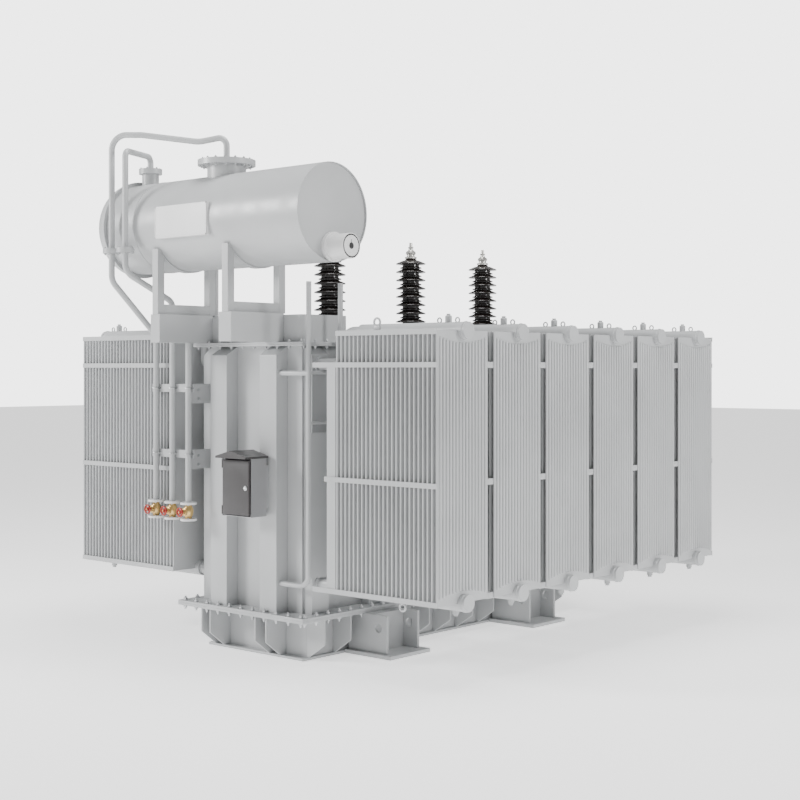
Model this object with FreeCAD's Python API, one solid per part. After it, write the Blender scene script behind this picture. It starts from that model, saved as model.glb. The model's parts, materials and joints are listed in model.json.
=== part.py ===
"""Oil-immersed power transformer with two side banks of panel radiators.

Frame: origin at the middle of the tank's foot print, on the ground. +Z is up,
+X points to the bank beside the ladder, -Y to the end that carries the oil
conservator. Everything is in millimetres, at real size.
"""
import FreeCAD, Part
import os
from math import cos, sin, pi, radians, sqrt

V = FreeCAD.Vector
X_AXIS, Y_AXIS, Z_AXIS = V(1, 0, 0), V(0, 1, 0), V(0, 0, 1)

os.makedirs("parts", exist_ok=True)

# ---- Fits -------------------------------------------------------------------
SEAT = 0.3            # gap between curved faces that seat on each other
RUN = 5.0             # clearance of pieces that move past others

# ---- Tank -------------------------------------------------------------------
TANK_W = 970.0        # bell wall to bell wall, along X
TANK_L = 2980.0       # end wall to end wall, along Y
PLATE = 12.0          # plate that stiffeners, ribs and webs are cut from
BOTTOM_W = 980.0      # bottom plate under the lower tank
BOTTOM_T = 20.0
BASE_TOP = 297.0      # height of the lower tank's walls
BASE_W = 940.0
BASE_L = 2860.0
FLANGE_T = 18.0       # each plate of the bolted tank flange
FLANGE_W = 1300.0
FLANGE_L = 3300.0
RIM_W = 1140.0        # cover rim, across and along
RIM_L = 3140.0
RIM_T = 14.0
RIM_BOTTOM = 2199.0   # underside of the cover rim
STIFF_W = 170.0       # pressed channel stiffeners
END_STIFF_D = 110.0   # their depth on the end walls and on the side walls
SIDE_STIFF_D = 80.0
STIFF_SLOPE = 62.0    # height of their sloped tops
END_STIFF_X = 257.0   # stiffeners of the end walls, either side of the middle
POCKET_W = 85.0       # corner pockets that carry the last side stiffeners
END_RIB_XS = (-420.0, -330.0, 145.0, 255.0)
RIB_YS = (-1160.0, -570.0, -300.0, -50.0, 220.0, 490.0, 1160.0)

END_BOX_Y0 = -1500.0  # raised box at the conservator's end of the cover
END_BOX_Y1 = -1035.0
END_BOX_W = 1000.0
END_BOX_TOP = 2420.0
END_BOX_R = 40.0

# ---- Feet -------------------------------------------------------------------
FOOT_CENTRES = (-847.0, 847.0)    # of the two cross feet, along Y
FOOT_L = 434.0        # base plate along Y
FOOT_REACH = 930.0    # base plate's outer edge from the middle
FOOT_T = 28.0
FOOT_PLATE_T = 22.0   # upright haulage plates
FOOT_PLATE_INSET = 40.0
FOOT_PLATE_REACH = 860.0
HAUL_R = 32.0         # haulage eye
HAUL_X = 780.0
HAUL_Z = 205.0

# ---- Radiators --------------------------------------------------------------
PANEL_W = 520.0
PANEL_T = 13.0
PANEL_PITCH = 37.5
PANEL_BOTTOM = 540.0
PANEL_TOP = 2285.0
RADIATORS = 6
RADIATOR_PITCH = 589.0
RADIATOR_Y0 = -1388.0     # middle of the first radiator
HEADER_D = 112.0
HEADER_CAP = 50.0         # header end past the outermost panel
BANKS = (                 # name, side, innermost panel's inner face, panels,
                          # the drop pipe's middle, diameter and bends, and
                          # the thickness of its flange pair, and how far the
                          # end straps reach past the innermost panel
    ("right", 1, 963.0, 24, 800.0, 86.0, 95.0, 12.0, (215.0, 105.0, 215.0, 0.0)),
    ("left", -1, 700.0, 30, 632.5, 86.0, 60.0, 12.0, (0.0, 0.0, 0.0, 0.0)),
)
STUB_Z = 2068.0           # upper tank connection
VALVE_D = 120.0           # flange pair at the tank
STUB_D = 86.0             # lower connection, up to the header
STUB_GAP = 40.0           # header starts this far before the innermost panel
STRAP_H = 34.0            # flat straps across the banks' end faces
STRAP_T = 6.0
STRAP_ZS = (553.0, 1300.0, 2065.0, 2275.0)
SIDE_PLATE_W = 85.0       # flat plate beside the innermost panel
SIDE_PLATE_Z0, SIDE_PLATE_Z1 = 545.0, 2070.0

# ---- Bushings ---------------------------------------------------------------
BUSHING_X = 200.0
BUSHING_PITCH = 915.0
TURRET_D = 230.0
TURRET_H = 70.0
BUSHING_FOOT_D = 210.0
BUSHING_FOOT_H = 22.0
CORE_D = 132.0
SHED_D = 234.0
SMALL_SHED_D = 168.0
SHEDS = 9
SHED_PITCH = 65.0
SHED_TOP = 2865.0
CAP_TOP = 2978.0
CAP_D = 76.0
STUD_D = 26.0
STUD_TOP = 3030.0

# ---- Conservator ------------------------------------------------------------
CONS_Y = -1700.0
CONS_Z = 3080.0
CONS_R = 333.0
CONS_WALL = 6.0
CONS_X1 = 985.0       # flat end
CONS_X0 = -1006.0     # end inside the dished head's lip
HEAD_R = 357.0
HEAD_LIP_X = -1000.0  # the lip's face on the shell's side
HEAD_DEPTH = 234.0    # lip's back to the apex
HEAD_KNUCKLE = 165.0
END_RECESS = 14.0
END_PLATE_T = 10.0
HANDHOLE_D = 230.0
HANDHOLE_NECK_D = 160.0
HANDHOLE_NECK_X = -1335.0
COVER_PLATE_T = 20.0
MANHOLE_X = -60.0
MANHOLE_NECK_D = 275.0
MANHOLE_NECK_H = 85.0
MANHOLE_FLANGE_D = 410.0
NOZZLE_X = -905.0
NOZZLE_D = 125.0
NOZZLE_H = 99.0
NOZZLE_FLANGE_D = 172.0
GAUGE_Y = -1697.0
GAUGE_Z = 2847.0
GAUGE_D = 168.0
GAUGE_FLANGE_D = 200.0
GAUGE_X1 = 1150.0
NAME_X0, NAME_X1 = -430.0, 116.0
NAME_Z0, NAME_Z1 = 2960.0, 3185.0
NAME_STAND = 14.0     # box front in front of the shell's side

# ---- Conservator stand ------------------------------------------------------
GIRDERS = ((190.0, 316.0), (-535.0, -435.0))   # X from, X to
GIRDER_Y0 = -2000.0
GIRDER_TOP = 2430.0
POST = 60.0
POST_BACK_Y = -1455.0     # back face of the rear posts
POST_TOP = 2895.0
TIE_H = 70.0
SADDLE_T = 10.0

# ---- Oil and air pipes ------------------------------------------------------
PIPE_D = 44.0
COUPLING_D = 128.0
COUPLING_T = 34.0
COUPLING_Z = 2894.0
PIPE_FRONT_Y = -2085.0    # pipes that pass in front of the conservator
PIPE_1_X, PIPE_2_X = -872.0, -716.0
PIPE_1_TOP, PIPE_2_TOP = 3739.0, 3611.0
PIPE_1_SAG = ((-252.0, -1791.0, 3659.0), (-657.0, -1983.0, 3728.0))
SLANT_TOPS = (2678.0, 2736.0)      # where the two pipes turn back under the shell
SLANT_ENDS = (2285.0, 2530.0)
RELAY_PIPE = (-485.0, -1428.0)

# ---- Drain pipes and valves -------------------------------------------------
DRAIN_XS = (-815.0, -630.0, -450.0)
DRAIN_Y = -1720.0
CLAMP_ZS = (1898.0, 1417.0)
CLAMP_H = 58.0
CLAMP_T = 6.0
CLAMP_X0, CLAMP_X1 = -885.0, -420.0
VALVE_TOP_Z = 1070.0
VALVE_H = 134.0
VALVE_BODY_D = 74.0
VALVE_FLANGE_D = 118.0
VALVE_FLANGE_T = 16.0
STEM_D = 16.0
STEM_LEN = 76.0           # from the valve's axis to the wheel's hub
WHEEL_D = 72.0
WHEEL_T = 14.0
HUB_D = 30.0

# ---- Ladder -----------------------------------------------------------------
LADDER_X = 620.0
LADDER_Y0 = -1560.0
LADDER_W = 316.0
LADDER_D = 36.0
LADDER_TOP = 2640.0
LADDER_BEND_R = 90.0
LOWER_ARM_Z = 540.0
UPPER_ARM_Z = 2010.0
RUNG_D = 22.0
RUNG_TOP_Z = 2012.0
RUNG_PITCH = 346.0
RUNGS = 5
GUARD_T = 3.0
GUARD_Z0, GUARD_Z1 = 600.0, 1600.0

# ---- Control cabinet --------------------------------------------------------
CAB_X0, CAB_X1 = 7.0, 275.0
CAB_FRONT = -1800.0
CAB_BACK = -1630.0
CAB_Z0, CAB_Z1 = 1010.0, 1417.0
CAB_SHEET = 3.0
DOOR_T = 18.0
DOOR_INSET = 12.0         # door edge from the cabinet's top and bottom
CANOPY_FRONT = 50.0
CANOPY_SIDE = 20.0
CANOPY_RISE = 40.0
CANOPY_EDGE = 14.0
PIN_D = 9.0
BARREL_D = 16.0
LUG_H = 9.0
BRACKET_W = 90.0
BRACKET_H = 300.0


# ---- Shapes -----------------------------------------------------------------
def box(x0, x1, y0, y1, z0, z1):
    """A block between two corners, in any order of its limits."""
    low = V(min(x0, x1), min(y0, y1), min(z0, z1))
    return Part.makeBox(abs(x1 - x0), abs(y1 - y0), abs(z1 - z0), low)


def rod(start, end, diameter):
    """A round bar from start to end."""
    run = end - start
    return Part.makeCylinder(diameter / 2, run.Length, start, run)


def disc(centre, axis, diameter, thickness):
    return Part.makeCylinder(diameter / 2, thickness, centre, axis)


def plate(points, direction):
    """A flat plate: a closed outline pushed along one direction."""
    outline = Part.makePolygon([V(*p) for p in points] + [V(*points[0])])
    return Part.Face(outline).extrude(direction)


def turned(profile, base, axis=Z_AXIS):
    """A solid of revolution: (radius, height) points about an upright axis."""
    points = [V(r, 0, z) for r, z in profile]
    face = Part.Face(Part.makePolygon(points + [points[0]]))
    solid = face.revolve(V(0, 0, 0), Z_AXIS, 360)
    solid.Placement = FreeCAD.Placement(base, FreeCAD.Rotation(Z_AXIS, axis))
    return solid


def bent_pipe(points, diameter, bends):
    """A round pipe along straight runs joined by tangent arcs."""
    points = [V(*p) for p in points]
    edges = []
    start = points[0]
    for corner, after, bend in zip(points[1:-1], points[2:], bends):
        into = (corner - start).normalize()
        out = (after - corner).normalize()
        turn = into.getAngle(out)
        tangent = bend * sin(turn / 2) / cos(turn / 2)
        a = corner - into * tangent
        b = corner + out * tangent
        bisector = (out - into).normalize()
        centre = corner + bisector * (bend / cos(turn / 2))
        middle = centre - bisector * bend
        edges.append(Part.LineSegment(start, a).toShape())
        edges.append(Part.Arc(a, middle, b).toShape())
        start = b
    edges.append(Part.LineSegment(start, points[-1]).toShape())
    path = Part.Wire(edges)
    first = (points[1] - points[0]).normalize()
    ring = Part.Wire(Part.makeCircle(diameter / 2, points[0], first))
    return path.makePipeShell([ring], True, False)


def fused(*solids):
    whole = solids[0]
    for extra in solids[1:]:
        whole = whole.fuse(extra)
    return whole.removeSplitter()


nodes = {}


def add(name, *solids):
    """Keep the solids of one node."""
    nodes.setdefault(name, []).extend(s for shape in solids for s in shape.Solids)


def save():
    for name, solids in nodes.items():
        shape = solids[0] if len(solids) == 1 else Part.makeCompound(solids)
        shape.exportStep("parts/%s.step" % name)


# ---- Lower tank -------------------------------------------------------------
RADIATOR_YS = [RADIATOR_Y0 + i * RADIATOR_PITCH for i in range(RADIATORS)]
FLANGE_Z = BASE_TOP + FLANGE_T           # joint of the two flange plates
BELL_BOTTOM = FLANGE_Z + FLANGE_T
RIM_Z = RIM_BOTTOM + RIM_T               # joint of rim and cover
COVER_TOP = RIM_Z + RIM_T


def lower_tank():
    add("bottom_plate", box(-BOTTOM_W / 2, BOTTOM_W / 2, -TANK_L / 2, TANK_L / 2, 0, BOTTOM_T))
    add("lower_tank", box(-BASE_W / 2, BASE_W / 2, -BASE_L / 2, BASE_L / 2, BOTTOM_T, BASE_TOP))
    half_w, half_l = FLANGE_W / 2, FLANGE_L / 2
    add("lower_flange", box(-half_w, half_w, -half_l, half_l, BASE_TOP, FLANGE_Z))
    add("bell_flange", box(-half_w, half_w, -half_l, half_l, FLANGE_Z, BELL_BOTTOM))
    knee = BASE_TOP * 0.42
    for side in (-1, 1):
        wall, foot, tip = side * BASE_W / 2, side * BOTTOM_W / 2, side * (FLANGE_W / 2 - 5)
        outline = [(wall, BOTTOM_T), (foot, BOTTOM_T), (tip, knee), (tip, BASE_TOP), (wall, BASE_TOP)]
        ends = [-BASE_L / 2, BASE_L / 2 - PLATE]
        for y in ends + [v - PLATE / 2 for v in RIB_YS]:
            add("base_ribs", plate([(x, y, z) for x, z in outline], V(0, PLATE, 0)))
    for end in (-1, 1):
        wall, foot, tip = end * BASE_L / 2, end * TANK_L / 2, end * (FLANGE_L / 2 - 25)
        outline = [(wall, BOTTOM_T), (foot, BOTTOM_T), (tip, knee), (tip, BASE_TOP), (wall, BASE_TOP)]
        for x in END_RIB_XS:
            add("base_ribs", plate([(x, y, z) for y, z in outline], V(PLATE, 0, 0)))


def feet():
    for centre in FOOT_CENTRES:
        y0, y1 = centre - FOOT_L / 2, centre + FOOT_L / 2
        for side in (-1, 1):
            inner = side * BOTTOM_W / 2
            outer = side * FOOT_REACH
            tip = side * FOOT_PLATE_REACH
            base = box(inner, outer, y0, y1, 0, FOOT_T)
            web_y0 = y0 + FOOT_PLATE_INSET + FOOT_PLATE_T
            web_y1 = y1 - FOOT_PLATE_INSET - FOOT_PLATE_T
            web = box(inner, side * (FOOT_PLATE_REACH - 130),
                      web_y0, web_y1, FOOT_T, BASE_TOP)
            add("feet", fused(base, web))
            for y in (y0 + FOOT_PLATE_INSET, web_y1):
                slab = box(side * BOTTOM_W / 2, tip, y, y + FOOT_PLATE_T, FOOT_T, BASE_TOP)
                eye = disc(V(side * HAUL_X, y - 1, HAUL_Z), Y_AXIS, 2 * HAUL_R, FOOT_PLATE_T + 2)
                add("haulage_plates", slab.cut(eye))


# ---- Bell tank --------------------------------------------------------------
def stiffener(width, depth, z0, z1):
    """A pressed channel against a wall at y=0 that faces -Y, with a sloped top."""
    outline = [(0, 0, z0), (0, -depth, z0), (0, -depth, z1 - STIFF_SLOPE), (0, 0, z1)]
    body = plate(outline, V(width, 0, 0))
    body.translate(V(-width / 2, 0, 0))
    return body


def bell_tank():
    half_w, half_l = TANK_W / 2, TANK_L / 2
    add("bell_tank", box(-half_w, half_w, -half_l, half_l, BELL_BOTTOM, RIM_BOTTOM))
    z0, z1 = BELL_BOTTOM, RIM_BOTTOM
    for turn in (0, 180):
        for x in (-END_STIFF_X, END_STIFF_X):
            piece = stiffener(STIFF_W, END_STIFF_D, z0, z1)
            piece.translate(V(x, -half_l, 0))
            piece.rotate(V(0, 0, 0), Z_AXIS, turn)
            add("stiffeners", piece)
    # the side stiffeners carry the radiators' connections
    for side in (-1, 1):
        for y in RADIATOR_YS:
            piece = stiffener(STIFF_W, SIDE_STIFF_D, z0, z1)
            piece.rotate(V(0, 0, 0), Z_AXIS, side * 90)
            piece.translate(V(side * half_w, y, 0))
            add("stiffeners", piece)
        pocket_end = RADIATOR_YS[-1] + STIFF_W / 2
        add("corner_pockets", box(side * half_w, side * (half_w - POCKET_W), half_l, pocket_end, z0, z1))
    add("cover_rim", box(-RIM_W / 2, RIM_W / 2, -RIM_L / 2, RIM_L / 2, RIM_BOTTOM, RIM_Z))
    add("cover", box(-RIM_W / 2, RIM_W / 2, -RIM_L / 2, RIM_L / 2, RIM_Z, COVER_TOP))
    raised = box(-END_BOX_W / 2, END_BOX_W / 2, END_BOX_Y0, END_BOX_Y1, COVER_TOP, END_BOX_TOP)
    upright = [e for e in raised.Edges if abs(e.tangentAt(e.FirstParameter).z) > 0.9]
    add("cover_box", raised.makeFillet(END_BOX_R, upright))


# ---- Radiators --------------------------------------------------------------
def radiator_bank(name, side, inner, count, drop_x, drop_d, bend, valve_t, reaches):
    outer = inner + (count - 1) * PANEL_PITCH + PANEL_T
    face_x = TANK_W / 2 + SIDE_STIFF_D
    out = V(side, 0, 0)
    for y in RADIATOR_YS:
        seats = [disc(V(side * (inner - 1), y, z), out, HEADER_D + 2 * SEAT, outer - inner + 2)
                 for z in (PANEL_BOTTOM, PANEL_TOP)]
        for step in range(count):
            x = inner + step * PANEL_PITCH
            panel = box(side * x, side * (x + PANEL_T), y - PANEL_W / 2, y + PANEL_W / 2,
                        PANEL_BOTTOM, PANEL_TOP)
            add("%s_radiators" % name, panel.cut(seats[0]).cut(seats[1]))
        tip = side * (outer + HEADER_CAP)
        low_end, high_end = V(tip, y, PANEL_BOTTOM), V(tip, y, PANEL_TOP)
        start = V(side * (inner - STUB_GAP), y, PANEL_BOTTOM)
        lower = fused(rod(V(side * face_x, y, PANEL_BOTTOM), start, STUB_D), rod(start, low_end, HEADER_D))
        collar = disc(V(side * face_x, y, PANEL_BOTTOM), out, VALVE_D, valve_t)
        add("lower_headers", fused(lower, collar))
        drop = bent_pipe([(side * face_x, y, STUB_Z), (side * drop_x, y, STUB_Z),
                          (side * drop_x, y, PANEL_TOP), (side * inner, y, PANEL_TOP)],
                         drop_d, (bend, bend))
        upper = rod(V(side * (inner - SEAT), y, PANEL_TOP), high_end, HEADER_D)
        collar = disc(V(side * face_x, y, STUB_Z), out, VALVE_D, valve_t)
        add("upper_headers", fused(upper, drop, collar))
    for edge, face in ((-1, RADIATOR_YS[0] - PANEL_W / 2), (1, RADIATOR_YS[-1] + PANEL_W / 2)):
        for z, reach in zip(STRAP_ZS, reaches):
            add("bank_straps", box(side * (inner - reach), side * outer, face, face + edge * STRAP_T,
                                   z - STRAP_H / 2, z + STRAP_H / 2))
        if reaches[0] > SIDE_PLATE_W:
            add("bank_side_plates", box(side * (inner - SIDE_PLATE_W), side * (inner - STRAP_T), face,
                                        face - edge * STRAP_T, SIDE_PLATE_Z0, SIDE_PLATE_Z1))


# ---- Bushings ---------------------------------------------------------------
def shed(radius, root, z):
    """Points of one umbrella shed, from its upper root to its lower root."""
    slope = (radius - root) * 0.42
    return [(root, z + slope * 0.9), (radius, z), (radius, z - 6), (root, z + slope * 0.35)]


def bushings():
    turret_top = COVER_TOP + TURRET_H
    foot_top = turret_top + BUSHING_FOOT_H
    core = CORE_D / 2
    for index in range(3):
        y = (index - 1) * BUSHING_PITCH
        base = V(BUSHING_X, y, 0)
        profile = [(0, SHED_TOP + 40), (38, SHED_TOP + 40), (core * 0.6, SHED_TOP + 34)]
        for k in range(SHEDS):
            z = SHED_TOP - k * SHED_PITCH
            profile += shed(SHED_D / 2, core, z)
            if k < SHEDS - 1:
                profile += shed(SMALL_SHED_D / 2, core, z - SHED_PITCH / 2)
        profile += [(core, foot_top), (0, foot_top)]
        add("bushings", turned(profile, base))
        turret = disc(V(BUSHING_X, y, COVER_TOP), Z_AXIS, TURRET_D, TURRET_H)
        clamp = disc(V(BUSHING_X, y, turret_top), Z_AXIS, BUSHING_FOOT_D, BUSHING_FOOT_H)
        add("bushing_turrets", fused(turret, clamp))
        low = SHED_TOP + 40
        cap = [(0, low), (28, low), (30, low + 30), (CAP_D / 2 - 6, low + 36), (CAP_D / 2, low + 46),
               (CAP_D / 2 - 6, low + 56), (24, CAP_TOP - 6), (20, CAP_TOP), (STUD_D / 2, CAP_TOP),
               (STUD_D / 2, STUD_TOP), (0, STUD_TOP)]
        add("terminals", turned(cap, base))


# ---- Conservator ------------------------------------------------------------
def along_x(radius, x0, x1):
    """A round bar on the conservator's axis."""
    return disc(V(x0, CONS_Y, CONS_Z), X_AXIS, 2 * radius, x1 - x0)


def head(grow):
    """The dished head as a solid without its lip, its surface moved out by grow."""
    r, depth, knuckle = HEAD_R + grow, HEAD_DEPTH + grow, HEAD_KNUCKLE + grow
    crown = (depth ** 2 - knuckle ** 2 + (r - knuckle) ** 2) / (2 * (depth - knuckle))
    near = V(CONS_X0, r - knuckle, 0)
    far = V(CONS_X0 - depth + crown, 0, 0)
    meet = (near - far).normalize()
    rim, apex = V(CONS_X0, r, 0), V(CONS_X0 - depth, 0, 0)
    join = far + meet * crown
    edges = [Part.Arc(rim, near + (meet + Y_AXIS).normalize() * knuckle, join).toShape(),
             Part.Arc(join, far + (meet - X_AXIS).normalize() * crown, apex).toShape(),
             Part.LineSegment(apex, V(CONS_X0, 0, 0)).toShape(),
             Part.LineSegment(V(CONS_X0, 0, 0), rim).toShape()]
    solid = Part.Face(Part.Wire(edges)).revolve(V(0, 0, 0), X_AXIS, 360)
    solid.translate(V(0, CONS_Y, CONS_Z))
    return solid


def conservator():
    add("conservator_shell", along_x(CONS_R, CONS_X0, CONS_X1).cut(
        along_x(CONS_R - CONS_WALL, CONS_X0 - 1, CONS_X1 + 1)))
    end_face = CONS_X1 - END_RECESS
    add("conservator_end", along_x(CONS_R - CONS_WALL - SEAT, end_face - END_PLATE_T, end_face))
    lip = along_x(HEAD_R, CONS_X0, HEAD_LIP_X).cut(along_x(CONS_R + SEAT, CONS_X0 - 1, CONS_X1))
    add("conservator_head", fused(head(0).cut(head(-CONS_WALL)), lip))
    outside = fused(along_x(CONS_R + SEAT, CONS_X0, CONS_X1), head(SEAT))
    neck_end = V(HANDHOLE_NECK_X, CONS_Y, CONS_Z)
    neck = disc(neck_end, X_AXIS, HANDHOLE_NECK_D, CONS_X0 - HANDHOLE_NECK_X)
    add("necks", neck.cut(outside))
    add("neck_covers", disc(neck_end, -X_AXIS, HANDHOLE_D, COVER_PLATE_T))
    for x, height, neck_d, flange_d in (
            (MANHOLE_X, CONS_R + MANHOLE_NECK_H, MANHOLE_NECK_D, MANHOLE_FLANGE_D),
            (NOZZLE_X, CONS_R + NOZZLE_H, NOZZLE_D, NOZZLE_FLANGE_D)):
        neck = disc(V(x, CONS_Y, CONS_Z), Z_AXIS, neck_d, height).cut(outside)
        collar = disc(V(x, CONS_Y, CONS_Z + height), -Z_AXIS, flange_d, COVER_PLATE_T)
        add("necks", fused(neck, collar))
        add("neck_covers", disc(V(x, CONS_Y, CONS_Z + height), Z_AXIS, flange_d, COVER_PLATE_T))
    gauge_foot = V(end_face, GAUGE_Y, GAUGE_Z)
    foot = disc(gauge_foot, X_AXIS, GAUGE_FLANGE_D, END_RECESS + 16)
    foot = foot.cut(along_x(2 * CONS_R, end_face - 1, CONS_X1 + 1).cut(
        along_x(CONS_R - CONS_WALL - SEAT, end_face - 1, CONS_X1 + 1)))
    add("level_gauge", fused(foot, disc(gauge_foot, X_AXIS, GAUGE_D, GAUGE_X1 - end_face)))
    front = CONS_Y - CONS_R - NAME_STAND
    name_box = box(NAME_X0, NAME_X1, front, CONS_Y - CONS_R / 2, NAME_Z0, NAME_Z1)
    add("name_panel", name_box.cut(outside))


def stand():
    for x0, x1 in GIRDERS:
        add("girders", box(x0, x1, GIRDER_Y0, END_BOX_Y0, COVER_TOP, GIRDER_TOP))
        mid = (x0 + x1) / 2
        p0, p1 = mid - POST / 2, mid + POST / 2
        seat = along_x(CONS_R + SADDLE_T + SEAT, p0 - 1, p1 + 1)
        front_y1 = GIRDER_Y0 + POST
        back_y0 = POST_BACK_Y - POST
        add("stand_posts", box(p0, p1, GIRDER_Y0, front_y1, GIRDER_TOP, POST_TOP).cut(seat))
        add("stand_posts", box(p0, p1, back_y0, POST_BACK_Y, GIRDER_TOP, POST_TOP).cut(seat))
        add("stand_ties", box(p0, p1, front_y1, back_y0, GIRDER_TOP, GIRDER_TOP + TIE_H))
        band = along_x(CONS_R + SADDLE_T, p0, p1).cut(along_x(CONS_R + SEAT, p0 - 1, p1 + 1))
        low = box(p0 - 1, p1 + 1, GIRDER_Y0, POST_BACK_Y, GIRDER_TOP, POST_TOP)
        add("saddles", band.common(low))


# ---- Pipes ------------------------------------------------------------------
def coupling(x, y, z):
    return disc(V(x, y, z - COUPLING_T / 2), Z_AXIS, COUPLING_D, COUPLING_T)


def pipes():
    cover_1 = CONS_Z + CONS_R + MANHOLE_NECK_H + COVER_PLATE_T
    cover_2 = CONS_Z + CONS_R + NOZZLE_H + COVER_PLATE_T
    y = PIPE_FRONT_Y
    foot = VALVE_TOP_Z
    first = bent_pipe([(MANHOLE_X, CONS_Y, cover_1), (MANHOLE_X, CONS_Y, PIPE_1_TOP - 50),
                       *PIPE_1_SAG, (PIPE_1_X, y, PIPE_1_TOP), (PIPE_1_X, y, SLANT_TOPS[0]),
                       (DRAIN_XS[0], DRAIN_Y, SLANT_ENDS[0]), (DRAIN_XS[0], DRAIN_Y, foot)],
                      PIPE_D, (60, 250, 250, 110, 110, 110))
    second = bent_pipe([(NOZZLE_X, CONS_Y, cover_2), (NOZZLE_X, CONS_Y, PIPE_2_TOP + 10),
                        (PIPE_2_X, y, PIPE_2_TOP), (PIPE_2_X, y, SLANT_TOPS[1]),
                        (DRAIN_XS[1], DRAIN_Y, SLANT_ENDS[1]), (DRAIN_XS[1], DRAIN_Y, foot)],
                       PIPE_D, (50, 50, 110, 70))
    add("oil_pipes", fused(first, coupling(PIPE_1_X, y, COUPLING_Z)))
    add("oil_pipes", fused(second, coupling(PIPE_2_X, y, COUPLING_Z)))
    x, relay_y = RELAY_PIPE
    relay = rod(V(x, relay_y, END_BOX_TOP), V(x, relay_y, CONS_Z), PIPE_D)
    add("oil_pipes", relay.cut(along_x(CONS_R + SEAT, CONS_X0, CONS_X1)))
    add("oil_pipes", rod(V(DRAIN_XS[2], DRAIN_Y, COVER_TOP), V(DRAIN_XS[2], DRAIN_Y, foot), PIPE_D))


def drain_clamps():
    back = DRAIN_Y + PIPE_D / 2 + SEAT
    wall = -TANK_W / 2
    for z in CLAMP_ZS:
        z0, z1 = z - CLAMP_H / 2, z + CLAMP_H / 2
        bar = box(CLAMP_X0, CLAMP_X1, back, back + CLAMP_T, z0, z1)
        lug = box(wall, wall + CLAMP_T, back, -TANK_L / 2, z1 - 140, z1 + 2)
        add("drain_clamps", fused(bar, lug))


def drain_valves():
    """Gate valves; each stem points to -Y and carries its handwheel."""
    z1, z0 = VALVE_TOP_Z, VALVE_TOP_Z - VALVE_H
    middle = (z0 + z1) / 2
    for index, x in enumerate(DRAIN_XS, 1):
        body = disc(V(x, DRAIN_Y, z0), Z_AXIS, VALVE_BODY_D, VALVE_H)
        flanges = [disc(V(x, DRAIN_Y, z), Z_AXIS, VALVE_FLANGE_D, VALVE_FLANGE_T)
                   for z in (z0, z1 - VALVE_FLANGE_T)]
        stem_root = V(x, DRAIN_Y, middle)
        hub = V(x, DRAIN_Y - STEM_LEN, middle)
        bonnet = disc(stem_root, -Y_AXIS, 44, VALVE_BODY_D / 2 + 14)
        stem = rod(stem_root, hub - V(0, WHEEL_T + 4, 0), STEM_D - 6)
        add("drain_valves", fused(body, bonnet, stem, *flanges))
        wheel = disc(hub, -Y_AXIS, WHEEL_D, WHEEL_T)
        for face in (0, WHEEL_T - 4):
            dish = disc(hub - V(0, face, 0), -Y_AXIS, WHEEL_D - 16, 4)
            wheel = wheel.cut(dish.cut(disc(hub - V(0, face, 0), -Y_AXIS, HUB_D, 4)))
        bore = disc(hub + V(0, 1, 0), -Y_AXIS, STEM_D - 6 + 2 * SEAT, WHEEL_T + 2)
        add("handwheel_%d" % index, wheel.cut(bore))


# ---- Ladder -----------------------------------------------------------------
def ladder():
    arm_end = END_STIFF_X + STIFF_W / 2
    wall = TANK_W / 2
    y0, y1 = LADDER_Y0, LADDER_Y0 + LADDER_W
    near = bent_pipe([(LADDER_X, y0, LADDER_TOP), (LADDER_X, y0, LOWER_ARM_Z),
                      (arm_end, y0, LOWER_ARM_Z)], LADDER_D, (LADDER_BEND_R,))
    arm = rod(V(arm_end, y0, UPPER_ARM_Z), V(LADDER_X, y0, UPPER_ARM_Z), LADDER_D)
    add("ladder_rails", fused(near, arm))
    far = rod(V(LADDER_X, y1, LOWER_ARM_Z), V(LADDER_X, y1, LADDER_TOP), LADDER_D)
    stays = [rod(V(wall, y1, z), V(LADDER_X, y1, z), LADDER_D - 8) for z in (LOWER_ARM_Z + 60, UPPER_ARM_Z)]
    add("ladder_rails", fused(far, *stays))
    rails = [rod(V(LADDER_X, y, LOWER_ARM_Z), V(LADDER_X, y, LADDER_TOP), LADDER_D + 2 * SEAT) for y in (y0, y1)]
    rails.append(rod(V(arm_end, y0, UPPER_ARM_Z), V(LADDER_X, y0, UPPER_ARM_Z), LADDER_D + 2 * SEAT))
    rails.append(near)
    for k in range(RUNGS):
        z = RUNG_TOP_Z - k * RUNG_PITCH
        rung = rod(V(LADDER_X, y0, z), V(LADDER_X, y1, z), RUNG_D)
        for rail in rails:
            rung = rung.cut(rail)
        add("ladder_rungs", rung)
    face = LADDER_X + LADDER_D / 2
    add("climb_guard", box(face, face + GUARD_T, y0, y1, GUARD_Z0, GUARD_Z1))


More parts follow.
